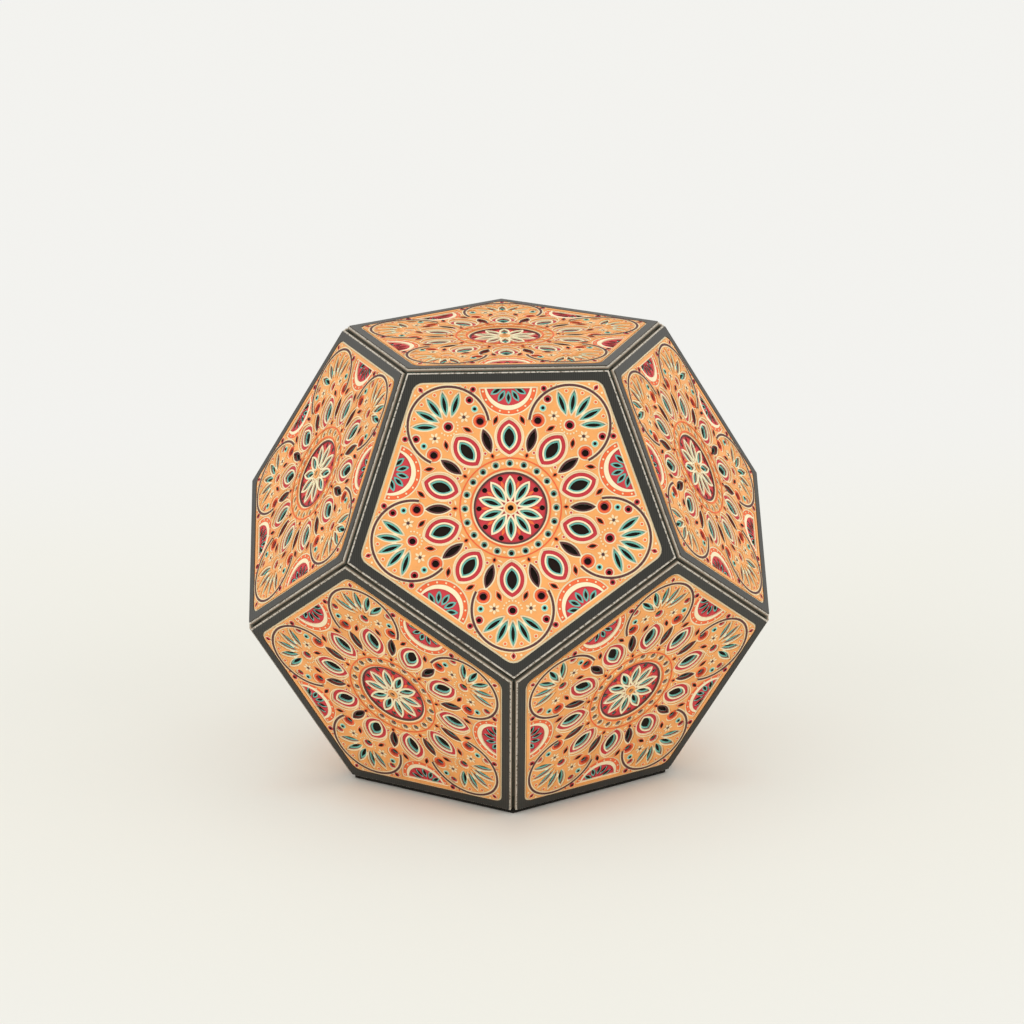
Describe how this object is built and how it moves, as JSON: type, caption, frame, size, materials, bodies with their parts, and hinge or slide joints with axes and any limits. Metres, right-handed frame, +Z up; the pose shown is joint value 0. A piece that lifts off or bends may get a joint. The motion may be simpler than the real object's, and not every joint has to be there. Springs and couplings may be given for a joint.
{
  "type": "paper dodecahedron lantern",
  "caption": "Twelve-sided lantern of layered cut card. Its pierced panels stand on a plain board with a round opening for a small light.",
  "frame": {"origin": "centre of the lantern's footprint, on the surface that it stands on", "axes": "+Z up, square to the face that it stands on. -Y points out of the front, where an upper panel faces forwards and the top panel has a level edge. +X to the right."},
  "size_m": [0.1594, 0.1676, 0.1374],
  "materials": {
    "charcoal_card": "matt charcoal card with a fine fibre grain",
    "orange_card": "matt orange card",
    "cream_card": "matt cream card",
    "crimson_card": "matt crimson card",
    "teal_card": "matt teal card",
    "vermilion_card": "matt vermilion card",
    "plum_card": "matt plum card",
    "black_card": "matt black card",
    "brown_card": "plain brown card",
    "black_board": "matt black board"
  },
  "bodies": {
    "root": {"top_frame": "charcoal_card", "upper_1_frame": "charcoal_card", "upper_2_frame": "charcoal_card", "upper_3_frame": "charcoal_card", "upper_4_frame": "charcoal_card", "upper_5_frame": "charcoal_card", "lower_1_frame": "charcoal_card", "lower_2_frame": "charcoal_card", "lower_3_frame": "charcoal_card", "lower_4_frame": "charcoal_card", "lower_5_frame": "charcoal_card", "top_field": "orange_card", "upper_1_field": "orange_card", "upper_2_field": "orange_card", "upper_3_field": "orange_card", "upper_4_field": "orange_card", "upper_5_field": "orange_card", "lower_1_field": "orange_card", "lower_2_field": "orange_card", "lower_3_field": "orange_card", "lower_4_field": "orange_card", "lower_5_field": "orange_card", "top_cream": "cream_card", "upper_1_cream": "cream_card", "upper_2_cream": "cream_card", "upper_3_cream": "cream_card", "upper_4_cream": "cream_card", "upper_5_cream": "cream_card", "lower_1_cream": "cream_card", "lower_2_cream": "cream_card", "lower_3_cream": "cream_card", "lower_4_cream": "cream_card", "lower_5_cream": "cream_card", "top_crimson": "crimson_card", "upper_1_crimson": "crimson_card", "upper_2_crimson": "crimson_card", "upper_3_crimson": "crimson_card", "upper_4_crimson": "crimson_card", "upper_5_crimson": "crimson_card", "lower_1_crimson": "crimson_card", "lower_2_crimson": "crimson_card", "lower_3_crimson": "crimson_card", "lower_4_crimson": "crimson_card", "lower_5_crimson": "crimson_card", "top_backing": "black_card", "upper_1_backing": "black_card", "upper_2_backing": "black_card", "upper_3_backing": "black_card", "upper_4_backing": "black_card", "upper_5_backing": "black_card", "lower_1_backing": "black_card", "lower_2_backing": "black_card", "lower_3_backing": "black_card", "lower_4_backing": "black_card", "lower_5_backing": "black_card", "teal_sheets": "teal_card", "vermilion_inlays": "vermilion_card", "plum_inlays": "plum_card", "seam_strips": "brown_card", "base_board": "black_board"}
  },
  "joints": []
}
